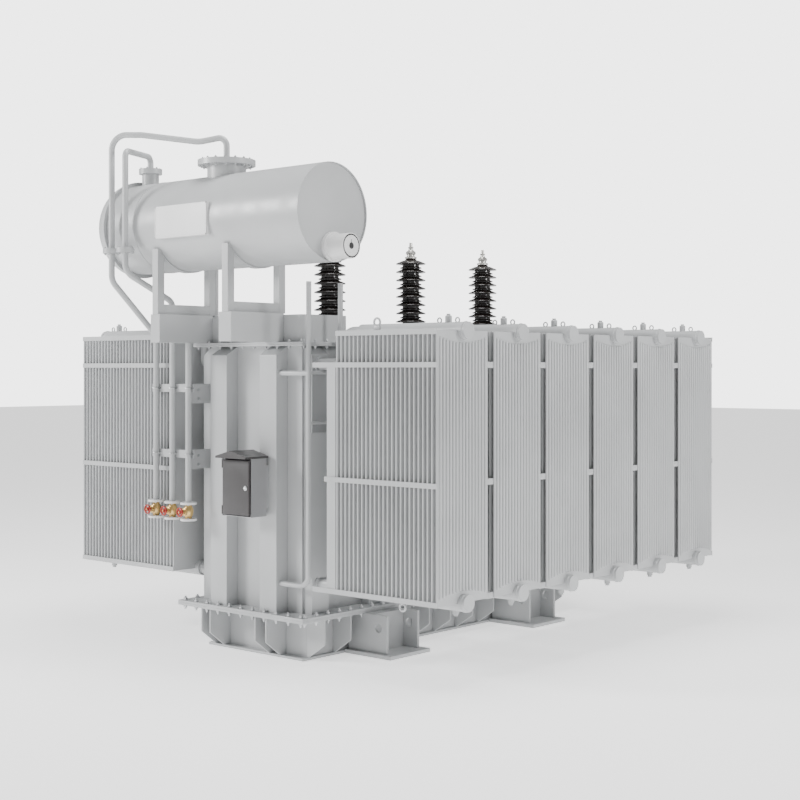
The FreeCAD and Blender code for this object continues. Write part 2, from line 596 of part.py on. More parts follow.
# ---- Control cabinet --------------------------------------------------------
def cabinet():
    front = CAB_FRONT + DOOR_T + RUN
    shell = box(CAB_X0, CAB_X1, front, CAB_BACK, CAB_Z0, CAB_Z1)
    inside = box(CAB_X0 + CAB_SHEET, CAB_X1 - CAB_SHEET, front - 1, CAB_BACK - CAB_SHEET,
                 CAB_Z0 + CAB_SHEET, CAB_Z1 - CAB_SHEET)
    add("cabinet_body", shell.cut(inside))
    pin_x = CAB_X0 - BARREL_D / 2
    pin_y = CAB_FRONT + DOOR_T / 2
    z0, z1 = CAB_Z0 + DOOR_INSET, CAB_Z1 - DOOR_INSET
    leaf = box(pin_x, CAB_X1, CAB_FRONT, CAB_FRONT + DOOR_T, z0, z1)
    barrel = disc(V(pin_x, pin_y, z0), Z_AXIS, BARREL_D, z1 - z0)
    bore = disc(V(pin_x, pin_y, z0 - 1), Z_AXIS, PIN_D + 2 * SEAT, z1 - z0 + 2)
    add("cabinet_door", fused(leaf, barrel).cut(bore))
    pin = disc(V(pin_x, pin_y, CAB_Z0), Z_AXIS, PIN_D, CAB_Z1 - CAB_Z0)
    lugs = [box(CAB_X0 - BARREL_D, CAB_X0, CAB_FRONT, front + 30, z, z + LUG_H)
            for z in (CAB_Z0, CAB_Z1 - LUG_H)]
    add("cabinet_hinge", fused(pin, *lugs))
    x0, x1 = CAB_X0 - CANOPY_SIDE, CAB_X1 + CANOPY_SIDE
    mid = (CAB_X0 + CAB_X1) / 2
    roof = [(x0, CAB_Z1), (x1, CAB_Z1), (x1, CAB_Z1 + CANOPY_EDGE),
            (mid, CAB_Z1 + CANOPY_EDGE + CANOPY_RISE), (x0, CAB_Z1 + CANOPY_EDGE)]
    depth = CAB_BACK - CAB_FRONT + CANOPY_FRONT
    add("cabinet_canopy", plate([(x, CAB_FRONT - CANOPY_FRONT, z) for x, z in roof], V(0, depth, 0)))
    side = END_STIFF_X - STIFF_W / 2
    middle = (CAB_Z0 + CAB_Z1) / 2
    add("cabinet_bracket", box(side, side + BRACKET_W, CAB_BACK, -TANK_L / 2 - END_STIFF_D,
                               middle - BRACKET_H / 2, middle + BRACKET_H / 2))


lower_tank()
feet()
bell_tank()
for bank in BANKS:
    radiator_bank(*bank)
bushings()
conservator()
stand()
pipes()
drain_clamps()
drain_valves()
ladder()
cabinet()
save()
print(len(nodes), "nodes,", sum(len(s) for s in nodes.values()), "solids")
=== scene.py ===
# %% [markdown]
# # A power transformer
# The real object is an oil-filled transformer: a welded steel tank with radiators on both sides, an oil
# conservator on a stand, bushings in a row on the cover, a ladder, a control cabinet and drain valves.
# The engineering model gives every large shape, and this script adds finishes and the small parts.

# %% The frame
import json
from math import cos, pi, radians, sin
import bmesh
import bpy
from mathutils import Matrix, Vector


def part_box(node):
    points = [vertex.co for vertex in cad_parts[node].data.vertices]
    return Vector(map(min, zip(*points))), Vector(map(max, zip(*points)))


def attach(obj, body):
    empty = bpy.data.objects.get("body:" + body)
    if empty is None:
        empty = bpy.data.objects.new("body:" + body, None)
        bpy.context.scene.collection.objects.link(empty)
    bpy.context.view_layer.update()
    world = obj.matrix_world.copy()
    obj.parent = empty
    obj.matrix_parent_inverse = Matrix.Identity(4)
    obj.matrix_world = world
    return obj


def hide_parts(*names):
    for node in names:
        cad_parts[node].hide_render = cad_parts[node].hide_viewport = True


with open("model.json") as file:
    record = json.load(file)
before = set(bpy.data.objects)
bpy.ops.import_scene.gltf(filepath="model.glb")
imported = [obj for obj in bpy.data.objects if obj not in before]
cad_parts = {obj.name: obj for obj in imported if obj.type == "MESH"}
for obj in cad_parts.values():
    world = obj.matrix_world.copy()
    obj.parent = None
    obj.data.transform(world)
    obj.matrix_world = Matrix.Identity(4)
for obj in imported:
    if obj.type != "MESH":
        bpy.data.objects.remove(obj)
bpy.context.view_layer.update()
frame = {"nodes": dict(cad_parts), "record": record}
nodes = frame["nodes"]
X, Y, Z = Vector((1, 0, 0)), Vector((0, 1, 0)), Vector((0, 0, 1))

# %% [markdown]
# The camera comes first, because every later choice of detail depends on what it shows. It stands level,
# off the corner between the conservator's end and the right-hand bank, with a longish lens so that the
# tank's uprights stay upright.

# %% Camera
camera_data = bpy.data.cameras.new("camera")
camera_data.lens = 65.475
camera_data.sensor_width = 36
camera_data.shift_y = -0.03875
camera = bpy.data.objects.new("camera", camera_data)
camera.location = (7.6706, -8.6626, 2.038)
camera.rotation_euler = (radians(90), 0, radians(41.2))
bpy.context.collection.objects.link(camera)
bpy.context.scene.camera = camera

# %% [markdown]
# Paint on plant like this is sprayed on thick. It is nearly one colour, with a faint orange-peel skin and
# slightly duller, greyer patches where dust has settled. One group makes that skin, and each paint gives
# it its own colour and strength.

# %% A node group for paint
def new_group(name, inputs, outputs):
    group = bpy.data.node_groups.new(name, "ShaderNodeTree")
    for socket, kind, value in inputs:
        made = group.interface.new_socket(socket, in_out="INPUT", socket_type=kind)
        made.default_value = value
    for socket, kind in outputs:
        group.interface.new_socket(socket, in_out="OUTPUT", socket_type=kind)
    return group, group.nodes.new("NodeGroupInput"), group.nodes.new("NodeGroupOutput")


def noise(tree, scale, detail=3.0):
    """A noise on Object coordinates, so that it stays at one size on every piece."""
    place = tree.nodes.new("ShaderNodeTexCoord")
    cloud = tree.nodes.new("ShaderNodeTexNoise")
    cloud.inputs["Scale"].default_value = scale
    cloud.inputs["Detail"].default_value = detail
    tree.links.new(place.outputs["Object"], cloud.inputs["Vector"])
    return cloud.outputs["Fac"]


def spread(tree, source, low, high, to_low, to_high):
    node = tree.nodes.new("ShaderNodeMapRange")
    for socket, value in zip(("From Min", "From Max", "To Min", "To Max"), (low, high, to_low, to_high)):
        node.inputs[socket].default_value = value
    tree.links.new(source, node.inputs["Value"])
    return node.outputs["Result"]


skin, skin_in, skin_out = new_group(
    "coat_skin",
    [("Colour", "NodeSocketColor", (0.8, 0.8, 0.8, 1)), ("Dust", "NodeSocketColor", (0.5, 0.5, 0.5, 1)),
     ("Dustiness", "NodeSocketFloat", 0.2), ("Gloss", "NodeSocketFloat", 0.4),
     ("Peel", "NodeSocketFloat", 0.1)],
    [("Colour", "NodeSocketColor"), ("Roughness", "NodeSocketFloat"), ("Normal", "NodeSocketVector")])
patches = spread(skin, noise(skin, 2.2, 5.0), 0.42, 0.68, 0.0, 1.0)
amount = skin.nodes.new("ShaderNodeMath")
amount.operation = "MULTIPLY"
skin.links.new(patches, amount.inputs[0])
skin.links.new(skin_in.outputs["Dustiness"], amount.inputs[1])
mixed = skin.nodes.new("ShaderNodeMix")
mixed.data_type = "RGBA"
skin.links.new(amount.outputs[0], mixed.inputs["Factor"])
skin.links.new(skin_in.outputs["Colour"], mixed.inputs["A"])
skin.links.new(skin_in.outputs["Dust"], mixed.inputs["B"])
skin.links.new(mixed.outputs["Result"], skin_out.inputs["Colour"])
rough = skin.nodes.new("ShaderNodeMath")
rough.operation = "MULTIPLY_ADD"
skin.links.new(spread(skin, noise(skin, 9.0), 0.3, 0.7, 0.0, 1.0), rough.inputs[0])
rough.inputs[1].default_value = 0.12
skin.links.new(skin_in.outputs["Gloss"], rough.inputs[2])
skin.links.new(rough.outputs[0], skin_out.inputs["Roughness"])
peel = skin.nodes.new("ShaderNodeBump")
peel.inputs["Distance"].default_value = 0.0006
skin.links.new(skin_in.outputs["Peel"], peel.inputs["Strength"])
skin.links.new(noise(skin, 160.0, 2.0), peel.inputs["Height"])
skin.links.new(peel.outputs["Normal"], skin_out.inputs["Normal"])

# %% Materials
def finish(name, colour, dust, dustiness, gloss, peel_strength, metallic=0.0, coat=0.0):
    """A material whose surface comes from the coat_skin group; gloss is its lowest roughness."""
    material = bpy.data.materials.new(name)
    material.use_nodes = True
    tree = material.node_tree
    shader = tree.nodes["Principled BSDF"]
    group = tree.nodes.new("ShaderNodeGroup")
    group.node_tree = skin
    group.inputs["Colour"].default_value = (*colour, 1)
    group.inputs["Dust"].default_value = (*dust, 1)
    group.inputs["Dustiness"].default_value = dustiness
    group.inputs["Gloss"].default_value = gloss
    group.inputs["Peel"].default_value = peel_strength
    tree.links.new(group.outputs["Colour"], shader.inputs["Base Color"])
    tree.links.new(group.outputs["Roughness"], shader.inputs["Roughness"])
    tree.links.new(group.outputs["Normal"], shader.inputs["Normal"])
    shader.inputs["Metallic"].default_value = metallic
    shader.inputs["Coat Weight"].default_value = coat
    return material


paint = finish("grey_paint", (0.47, 0.48, 0.485), (0.36, 0.365, 0.37), 0.35, 0.30, 0.35)
radiator_paint = finish("radiator_paint", (0.45, 0.46, 0.465), (0.35, 0.355, 0.36), 0.35, 0.28, 0.2)
white_enamel = finish("white_enamel", (0.80, 0.80, 0.80), (0.66, 0.66, 0.65), 0.3, 0.3, 0.15)
brown_glaze = finish("brown_glaze", (0.012, 0.009, 0.008), (0.05, 0.045, 0.04), 0.3, 0.10, 0.05, coat=0.5)
terminal_metal = finish("terminal_metal", (0.62, 0.61, 0.58), (0.4, 0.39, 0.37), 0.4, 0.28, 0.3, 1.0)
zinc = finish("zinc", (0.60, 0.61, 0.62), (0.36, 0.37, 0.37), 0.5, 0.32, 0.4, 1.0)
brass = finish("brass", (0.68, 0.47, 0.19), (0.34, 0.22, 0.10), 0.6, 0.25, 0.4, 1.0)
red_enamel = finish("red_enamel", (0.36, 0.022, 0.012), (0.20, 0.02, 0.015), 0.4, 0.22, 0.2)
charcoal = finish("charcoal", (0.045, 0.042, 0.043), (0.10, 0.10, 0.10), 0.25, 0.38, 0.5)
stainless = finish("stainless", (0.50, 0.50, 0.51), (0.38, 0.38, 0.38), 0.4, 0.34, 0.1, 0.85)
dial_white = finish("dial_white", (0.62, 0.70, 0.78), (0.7, 0.72, 0.75), 0.2, 0.15, 0.0, coat=0.6)
dial_blue = finish("dial_blue", (0.02, 0.06, 0.16), (0.03, 0.08, 0.18), 0.2, 0.2, 0.0)
black = finish("black", (0.015, 0.015, 0.016), (0.05, 0.05, 0.05), 0.3, 0.35, 0.2)
BY_SLOT = {"paint": paint, "radiator_paint": radiator_paint, "white_enamel": white_enamel,
           "brown_glaze": brown_glaze, "terminal_metal": terminal_metal, "galvanised": zinc,
           "brass": brass, "red_enamel": red_enamel, "charcoal": charcoal, "stainless": stainless}
for entry in frame["record"]["subparts"]:
    shown = nodes[entry["node"]]
    shown.data.materials.clear()
    shown.data.materials.append(BY_SLOT[entry["material_slot"]])
print("materials", len(bpy.data.materials))

# %% [markdown]
# Cut and folded plate never has a knife edge. A narrow bevel on the plate work catches the light.

# %% Broken edges
for name in ("stiffeners", "corner_pockets", "base_ribs", "feet", "haulage_plates", "bottom_plate", "lower_flange",
             "bell_flange", "cover_rim", "cover", "cover_box", "girders", "stand_posts", "stand_ties"):
    weld = nodes[name].modifiers.new("weld", "WELD")
    weld.merge_threshold = 0.0001
    edge = nodes[name].modifiers.new("edge", "BEVEL")
    edge.width = 0.0025
    edge.segments = 2
    edge.limit_method = "ANGLE"
    edge.angle_limit = radians(50)

# %% [markdown]
# Every small part here is made from turned, drilled and cut stock, so a few helpers that copy those
# operations build them all: a round bar, a block with broken edges, and a profile spun about an axis.

# %% Workshop helpers
def turn_to(at, axis):
    """Puts a shape that stands on the origin along +Z at a point, along an axis."""
    return Matrix.Translation(at) @ Vector(axis).to_track_quat("Z", "Y").to_matrix().to_4x4()


def bar(bm, at, axis, radius, length, sides=24, tip=None):
    """A round bar from a point along an axis; six sides make a nut."""
    middle = Vector(at) + Vector(axis) * length / 2
    return bmesh.ops.create_cone(bm, cap_ends=True, segments=sides, radius1=radius,
                                 radius2=radius if tip is None else tip, depth=length,
                                 matrix=turn_to(middle, axis))["verts"]


def block(bm, low, high, bevel=0.0, segments=2):
    low, high = Vector(low), Vector(high)
    size = high - low
    made = bmesh.ops.create_cube(bm, size=1, matrix=Matrix.Translation((low + high) / 2) @ Matrix.Diagonal(
        (abs(size.x), abs(size.y), abs(size.z), 1)))["verts"]
    if bevel:
        edges = list({edge for vert in made for edge in vert.link_edges})
        bmesh.ops.bevel(bm, geom=edges, offset=bevel, segments=segments, profile=0.5, affect="EDGES", material=-1)


def spun(bm, profile, at, axis, steps=32, angle=2 * pi):
    """Spins (radius, height) points about an axis through a point."""
    place = turn_to(Vector(at), axis)
    verts = [bm.verts.new(place @ Vector((r, 0, z))) for r, z in profile]
    edges = [bm.edges.new(pair) for pair in zip(verts, verts[1:])]
    full = abs(angle - 2 * pi) < 1e-6
    bmesh.ops.spin(bm, geom=verts + edges, cent=at, axis=Vector(axis), angle=angle, steps=steps, use_merge=full)


def ring(bm, at, axis, radius, wire, steps=32, sides=10):
    """A round wire bent into a closed ring."""
    spun(bm, [(radius + wire * cos(2 * pi * k / sides), wire * sin(2 * pi * k / sides))
              for k in range(sides)] + [(radius + wire, 0)], at, axis, steps)


def bolt(bm, at, axis, size, stub=0.0):
    """A washer and a hexagon head on a face; a stub shows the thread past a nut."""
    axis = Vector(axis)
    at = Vector(at)
    bar(bm, at, axis, size * 1.0, size * 0.16, 12)
    bar(bm, at + axis * size * 0.16, axis, size * 0.86, size * 0.6, 6)
    if stub:
        bar(bm, at + axis * size * 0.76, axis, size * 0.48, stub, 8, tip=size * 0.4)


def keep(bm, name, body, material, sharp=35):
    """Turns a finished bmesh into a named piece that rides on a body."""
    bmesh.ops.remove_doubles(bm, verts=bm.verts, dist=1e-6)
    bmesh.ops.recalc_face_normals(bm, faces=bm.faces)
    mesh = bpy.data.meshes.new(name)
    bm.to_mesh(mesh)
    bm.free()
    mesh.materials.append(material)
    mesh.shade_smooth()
    mesh.set_sharp_from_angle(angle=radians(sharp))
    piece = bpy.data.objects.new(name, mesh)
    bpy.context.collection.objects.link(piece)
    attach(piece, body)
    print(name, len(mesh.polygons), "faces")
    return piece


def limits(node):
    low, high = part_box(node)
    return Vector(low), Vector(high)


# %% [markdown]
# A radiator panel is two pressed sheets welded round the edge. Between the welds the sheets bulge into
# upright flutes that carry the oil. Only the outermost panel of each radiator shows its flutes, so the
# others get rounded edges only, and stay light enough to be made in hundreds.

# %% Radiator panels
PANEL_W, PANEL_T, PANEL_PITCH = 0.520, 0.013, 0.0375
STRAP_HEIGHTS = (0.553, 1.300, 2.065)
FLUTES = 15
bank_low, bank_high = limits("right_radiators")
RADIATOR_PITCH = (bank_high.y - bank_low.y - PANEL_W) / 5
radiator_ys = [bank_low.y + PANEL_W / 2 + k * RADIATOR_PITCH for k in range(6)]
panel_z0, panel_z1 = bank_low.z, bank_high.z


def plain_panel(bm, x, y):
    """One slim panel with rounded upright edges."""
    made = bmesh.ops.create_cube(bm, size=1, matrix=Matrix.Translation((x, y, (panel_z0 + panel_z1) / 2))
                                 @ Matrix.Diagonal((PANEL_T, PANEL_W, panel_z1 - panel_z0, 1)))["verts"]
    edges = [edge for edge in {e for v in made for e in v.link_edges}
             if abs(edge.verts[0].co.z - edge.verts[1].co.z) > 0.5]
    bmesh.ops.bevel(bm, geom=edges, offset=0.0052, segments=2, profile=0.6, affect="EDGES", material=-1)


def flute(bm, x, y, out, z0, z1, width, height):
    """One pressed flute: a ball stretched into a long bar that sits half in the sheet."""
    made = bmesh.ops.create_uvsphere(bm, u_segments=12, v_segments=8, radius=1, matrix=Matrix.Translation(
        (x, y, (z0 + z1) / 2)) @ Matrix.Diagonal((height, width / 2, width * 0.9, 1)))["verts"]
    for sign in (1, -1):
        end = [v for v in made if sign * (v.co.z - (z0 + z1) / 2) > 1e-4]
        bmesh.ops.translate(bm, verts=end, vec=(0, 0, sign * ((z1 - z0) / 2 - width * 0.9)))


for side, node in ((1, "right_radiators"), (-1, "left_radiators")):
    low, high = limits(node)
    inner, outer = (low.x, high.x) if side > 0 else (high.x, low.x)
    count = round((abs(outer - inner) - PANEL_T) / PANEL_PITCH) + 1
    bm = bmesh.new()
    for y in radiator_ys:
        for step in range(count - 1):
            plain_panel(bm, inner + side * (step * PANEL_PITCH + PANEL_T / 2), y)
    panels = keep(bm, node.replace("radiators", "panels"), "tank", radiator_paint, 50)
    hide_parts(node)
    bm = bmesh.new()
    for y in radiator_ys:
        x = outer - side * PANEL_T / 2
        plain_panel(bm, x, y)
        pitch = (PANEL_W - 0.03) / FLUTES
        for k in range(FLUTES):
            offset = (k - (FLUTES - 1) / 2) * pitch
            rise = 0.032 + 0.042 * (1 - (2 * offset / PANEL_W) ** 2)
            flute(bm, outer, y + offset, side, panel_z0 + rise, panel_z1 - rise, pitch * 0.84, 0.013)
    keep(bm, node.replace("radiators", "outer_panels"), "tank", radiator_paint, 60)

# %% [markdown]
# On top of each header is an air plug near the outer end, with a small lifting ring on either side, and
# below each lower header a drain plug. Welded caps close the headers.

# %% Header fittings
HEADER_R = 0.056
CAP_BEAD = [(HEADER_R - 0.001, 0), (HEADER_R + 0.004, 0.003),
            (HEADER_R + 0.004, 0.008), (HEADER_R - 0.001, 0.011)]
top_low, top_high = limits("upper_headers")
header_z = panel_z1
for side, reach in ((1, top_high.x), (-1, top_low.x)):
    bm = bmesh.new()
    for y in radiator_ys:
        x = reach - side * 0.17
        bar(bm, (x, y, header_z + HEADER_R - 0.006), Z, 0.0225, 0.044, 24)
        bar(bm, (x, y, header_z + HEADER_R + 0.038), Z, 0.0225, 0.005, 24, tip=0.018)
        bar(bm, (x, y, header_z + HEADER_R + 0.043), Z, 0.013, 0.011, 6)
        for step in (-0.075, 0.075):
            ring(bm, (x + step, y, header_z + HEADER_R + 0.012), Y, 0.016, 0.005, 16, 8)
        for z in (header_z, panel_z0):
            spun(bm, CAP_BEAD, (reach - side * 0.03, y, z), X * side, 32)
        bar(bm, (reach - side * 0.11, y, panel_z0 - HEADER_R + 0.006), -Z, 0.022, 0.026, 16)
        bar(bm, (reach - side * 0.11, y, panel_z0 - HEADER_R - 0.020), -Z, 0.015, 0.014, 6)
    keep(bm, "header_plugs_%s" % ("right" if side > 0 else "left"), "tank", paint)
bm = bmesh.new()
right_face = bank_high.x
for a, b in zip(radiator_ys, radiator_ys[1:]):
    for z in STRAP_HEIGHTS:
        for x in (right_face - 0.02, -1.78):
            block(bm, (x - 0.012, a + PANEL_W / 2 - 0.004, z - 0.02), (x + 0.012, b - PANEL_W / 2 + 0.004, z + 0.02), 0.002)
near_y = bank_low.y
ring(bm, (1.314, near_y + 0.02, 2.343), Y, 0.026, 0.0075, 28, 10)
block(bm, (1.29, near_y + 0.008, 2.285), (1.338, near_y + 0.032, 2.322), 0.004)
ring(bm, (1.535, near_y + 0.02, 0.508), Y, 0.024, 0.007, 28, 10)
keep(bm, "bank_clips", "tank", paint)

# %% [markdown]
# The two tank flanges and the cover rim are pulled together by rows of bolts. Heads sit on top, nuts and
# thread ends below.

# %% Flange bolts
def rim_points(low, high, inset, pitch):
    """Evenly spaced points along the four sides of a flange, clear of its corners."""
    points = []
    for along, across in ((0, 1), (1, 0)):
        start, stop = low[along] + inset * 1.6, high[along] - inset * 1.6
        count = round((stop - start) / pitch)
        for edge in (low[across] + inset, high[across] - inset):
            for k in range(count + 1):
                point = [0.0, 0.0]
                point[along] = start + (stop - start) * k / count
                point[across] = edge
                points.append(point)
    return points


flange_low, _ = limits("lower_flange")
_, flange_high = limits("bell_flange")
stiff_low, stiff_high = limits("stiffeners")
bm = bmesh.new()
for x, y in rim_points(flange_low, flange_high, 0.030, 0.115):
    bolt(bm, (x, y, flange_high.z), Z, 0.018, 0.012)
    bolt(bm, (x, y, flange_low.z), -Z, 0.018, 0.016)
cover_low, cover_high = limits("cover")
rim_low, _ = limits("cover_rim")
for x, y in rim_points(cover_low, cover_high, 0.022, 0.115):
    bolt(bm, (x, y, cover_high.z), Z, 0.014, 0.008)
    bolt(bm, (x, y, rim_low.z), -Z, 0.014, 0.008)
keep(bm, "flange_bolts", "tank", zinc)

# %% [markdown]
# A bushing is a porcelain column with umbrella-shaped sheds, large and small by turns, that keep rain off
# the surface below. It is thrown on a wheel, so a spun profile is the natural way to make it.

# %% Bushings
bush_low, bush_high = limits("bushings")
bush_x = (bush_low.x + bush_high.x) / 2
bush_r = (bush_high.x - bush_low.x) / 2
bush_ys = [bush_low.y + bush_r, (bush_low.y + bush_high.y) / 2, bush_high.y - bush_r]
CORE_R, SMALL_R, SHEDS, SHED_PITCH, SHED_TOP = 0.066, 0.086, 9, 0.065, 2.865


def shed(radius, z):
    """Outline of one shed, from its root above to its root below."""
    over = radius - CORE_R
    return [(CORE_R, z + over * 0.46), (CORE_R + over * 0.25, z + over * 0.34), (radius - 0.006, z + 0.004),
            (radius - 0.001, z + 0.001), (radius, z - 0.003), (radius - 0.003, z - 0.0065),
            (radius - 0.012, z - 0.005), (CORE_R + over * 0.3, z + over * 0.08), (CORE_R, z)]


bm = bmesh.new()
for y in bush_ys:
    profile = [(0.0001, bush_high.z), (0.034, bush_high.z), (0.044, bush_high.z - 0.006), (0.05, bush_high.z - 0.016)]
    for k in range(SHEDS):
        profile += shed(bush_r, SHED_TOP - k * SHED_PITCH)
        if k < SHEDS - 1:
            profile += shed(SMALL_R, SHED_TOP - (k + 0.5) * SHED_PITCH)
    profile += [(CORE_R, bush_low.z), (0.0001, bush_low.z)]
    spun(bm, profile, (bush_x, y, 0), Z, 48)
sheds = keep(bm, "bushing_sheds", "tank", brown_glaze, 60)
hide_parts("bushings")

# %% Bushing caps
cap_low, cap_high = limits("terminals")
bm = bmesh.new()
for y in bush_ys:
    base = cap_low.z
    spun(bm, [(0.0001, base), (0.046, base), (0.047, base + 0.012), (0.030, base + 0.018), (0.029, base + 0.028),
              (0.036, base + 0.032), (0.040, base + 0.043), (0.036, base + 0.054), (0.027, base + 0.060),
              (0.020, base + 0.066), (0.020, base + 0.073), (0.013, base + 0.073), (0.013, cap_high.z - 0.002),
              (0.011, cap_high.z), (0.0001, cap_high.z)], (bush_x, y, 0), Z, 32)
    bar(bm, (bush_x, y, base + 0.080), Z, 0.021, 0.012, 6)
caps = keep(bm, "bushing_caps", "tank", terminal_metal, 30)
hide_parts("terminals")

# %% [markdown]
# The conservator is a rolled shell with welded ends. Weld beads, bolted covers and the oil level gauge are
# what makes it read as plate work.

# %% Conservator welds and covers
shell_low, shell_high = limits("conservator_shell")
cons_y = (shell_low.y + shell_high.y) / 2
cons_z = (shell_low.z + shell_high.z) / 2
cons_r = (shell_high.z - shell_low.z) / 2
head_low, head_high = limits("conservator_head")
head_r = (head_high.z - head_low.z) / 2
bm = bmesh.new()
SHELL_SEAM_X = -0.690
for x, radius in ((SHELL_SEAM_X, cons_r), (head_high.x - 0.003, head_r)):
    ring(bm, (x, cons_y, cons_z), X, radius - 0.001, 0.004, 64, 8)
keep(bm, "conservator_welds", "tank", paint)


def bolt_circle(bm, at, axis, radius, count, size, stub=0.0, start=0.0):
    place = turn_to(Vector(at), axis)
    for k in range(count):
        angle = 2 * pi * (k + start) / count
        bolt(bm, place @ Vector((radius * cos(angle), radius * sin(angle), 0)), axis, size, stub)


MANHOLE_X, NOZZLE_X, HANDHOLE_X = -0.06, -0.905, -1.355
PIPE_XS, PIPE_FRONT_Y = (-0.872, -0.716), -2.085
bm = bmesh.new()
manhole_top = cons_z + cons_r + 0.085 + 0.020
nozzle_top = cons_z + cons_r + 0.099 + 0.020
bolt_circle(bm, (MANHOLE_X, cons_y, manhole_top), Z, 0.178, 16, 0.011, 0.006)
bolt_circle(bm, (MANHOLE_X, cons_y, manhole_top - 0.04), -Z, 0.178, 16, 0.011, 0.006)
bolt_circle(bm, (NOZZLE_X, cons_y, nozzle_top), Z, 0.070, 6, 0.009, 0.004)
bolt_circle(bm, (HANDHOLE_X, cons_y, cons_z), -X, 0.097, 8, 0.010, 0.004)
gauge_low, gauge_high = limits("level_gauge")
gauge_y, gauge_z = (gauge_low.y + gauge_high.y) / 2, (gauge_low.z + gauge_high.z) / 2
bolt_circle(bm, (0.985 + 0.002, gauge_y, gauge_z), X, 0.091, 8, 0.007)
coupling_z = 2.894
for x in PIPE_XS:
    bolt_circle(bm, (x, PIPE_FRONT_Y, coupling_z + 0.017), Z, 0.047, 4, 0.010, 0.006, 0.5)
    bolt_circle(bm, (x, PIPE_FRONT_Y, coupling_z - 0.017), -Z, 0.047, 4, 0.010, 0.006, 0.5)
keep(bm, "cover_bolts", "tank", zinc)

# %% Level gauge
front = gauge_high.x
bm = bmesh.new()
spun(bm, [(0.0805, -0.016), (0.0835, -0.014), (0.0835, -0.001), (0.079, 0), (0.070, 0), (0.068, -0.003)],
     (front, gauge_y, gauge_z), X, 48)
keep(bm, "gauge_bezel", "tank", white_enamel)
bm = bmesh.new()
spun(bm, [(0.0001, 0.0002), (0.069, 0.0002), (0.069, -0.002)], (front - 0.001, gauge_y, gauge_z), X, 48)
keep(bm, "gauge_dial", "tank", dial_white)

# %% [markdown]
# The dial carries a dark scale arc and a needle hub. It is turned to the gauge's face, and has no lettering.

# %% Gauge scale
bm = bmesh.new()
arc = [(0.046, 0.0), (0.062, 0.0), (0.062, 0.0010), (0.046, 0.0010), (0.046, 0.0)]
verts = [bm.verts.new(Vector((front - 0.0012 + z, gauge_y - r, gauge_z))) for r, z in arc[:-1]]
face = bm.faces.new(verts)
bmesh.ops.rotate(bm, verts=verts, cent=(front, gauge_y, gauge_z), matrix=Matrix.Rotation(radians(50), 3, "X"))
bmesh.ops.spin(bm, geom=[face] + verts + list(face.edges), cent=(front, gauge_y, gauge_z), axis=(1, 0, 0),
               angle=radians(-200), steps=28)
keep(bm, "gauge_arc", "tank", dial_blue)
bm = bmesh.new()
bar(bm, (front - 0.001, gauge_y, gauge_z), X, 0.022, 0.0012, 24)
block(bm, (front - 0.0008, gauge_y - 0.003, gauge_z), (front, gauge_y + 0.003, gauge_z + 0.043), 0.0003, 1)
keep(bm, "gauge_hub", "tank", black)

# %% [markdown]
# The name plate box stays blank. A raised rim and four corner screws hold its plate.

# %% Blank plate
name_low, name_high = limits("name_panel")
bm = bmesh.new()
y = name_low.y
for low, high in (((name_low.x, name_low.z), (name_high.x, name_low.z + 0.010)),
                  ((name_low.x, name_high.z - 0.010), (name_high.x, name_high.z)),
                  ((name_low.x, name_low.z), (name_low.x + 0.010, name_high.z)),
                  ((name_high.x - 0.010, name_low.z), (name_high.x, name_high.z))):
    block(bm, (low[0], y - 0.002, low[1]), (high[0], y + 0.002, high[1]), 0.001, 1)
for x in (name_low.x + 0.024, name_high.x - 0.024):
    for z in (name_low.z + 0.024, name_high.z - 0.024):
        bar(bm, (x, y, z), -Y, 0.005, 0.002, 12, tip=0.004)
keep(bm, "blank_plate_rim", "tank", white_enamel)

# %% [markdown]
# The drain valves are bronze gate valves between white flanges. Each body swells round its gate and has a
# bonnet that points forward, with a red handwheel on the stem.

# %% Drain valves
valve_low, valve_high = limits("drain_valves")
drain_xs = (-0.815, -0.630, -0.450)
drain_y = -1.720
valve_mid = (valve_low.z + valve_high.z) / 2
bm = bmesh.new()
for x in drain_xs:
    h = (valve_high.z - valve_low.z) / 2 - 0.016
    spun(bm, [(0.0001, -h), (0.024, -h), (0.024, -h + 0.008), (0.034, -0.022), (0.037, 0), (0.034, 0.022),
              (0.024, h - 0.008), (0.024, h), (0.0001, h)], (x, drain_y, valve_mid), Z, 28)
    spun(bm, [(0.0001, 0.0), (0.024, 0.0), (0.024, 0.034), (0.029, 0.036), (0.029, 0.044), (0.019, 0.047),
              (0.017, 0.058), (0.008, 0.060), (0.006, 0.094), (0.0001, 0.094)], (x, drain_y, valve_mid), -Y, 24)
    bolt_circle(bm, (x, drain_y - 0.044, valve_mid), -Y, 0.024, 4, 0.004)
bodies = keep(bm, "valve_bodies", "tank", brass)
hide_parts("drain_valves")
bm = bmesh.new()
for x in drain_xs:
    for z, way in ((valve_high.z, -1), (valve_low.z, 1)):
        spun(bm, [(0.0001, 0), (0.058, 0), (0.059, 0.001 * way), (0.059, 0.015 * way),
                  (0.058, 0.016 * way), (0.0001, 0.016 * way)], (x, drain_y, z), Z, 40)
keep(bm, "valve_flanges", "tank", white_enamel)
bm = bmesh.new()
for x in drain_xs:
    bolt_circle(bm, (x, drain_y, valve_high.z - 0.016), -Z, 0.043, 4, 0.008, 0.0, 0.5)
    bolt_circle(bm, (x, drain_y, valve_low.z + 0.016), Z, 0.043, 4, 0.008, 0.0, 0.5)
keep(bm, "valve_bolts", "tank", zinc)

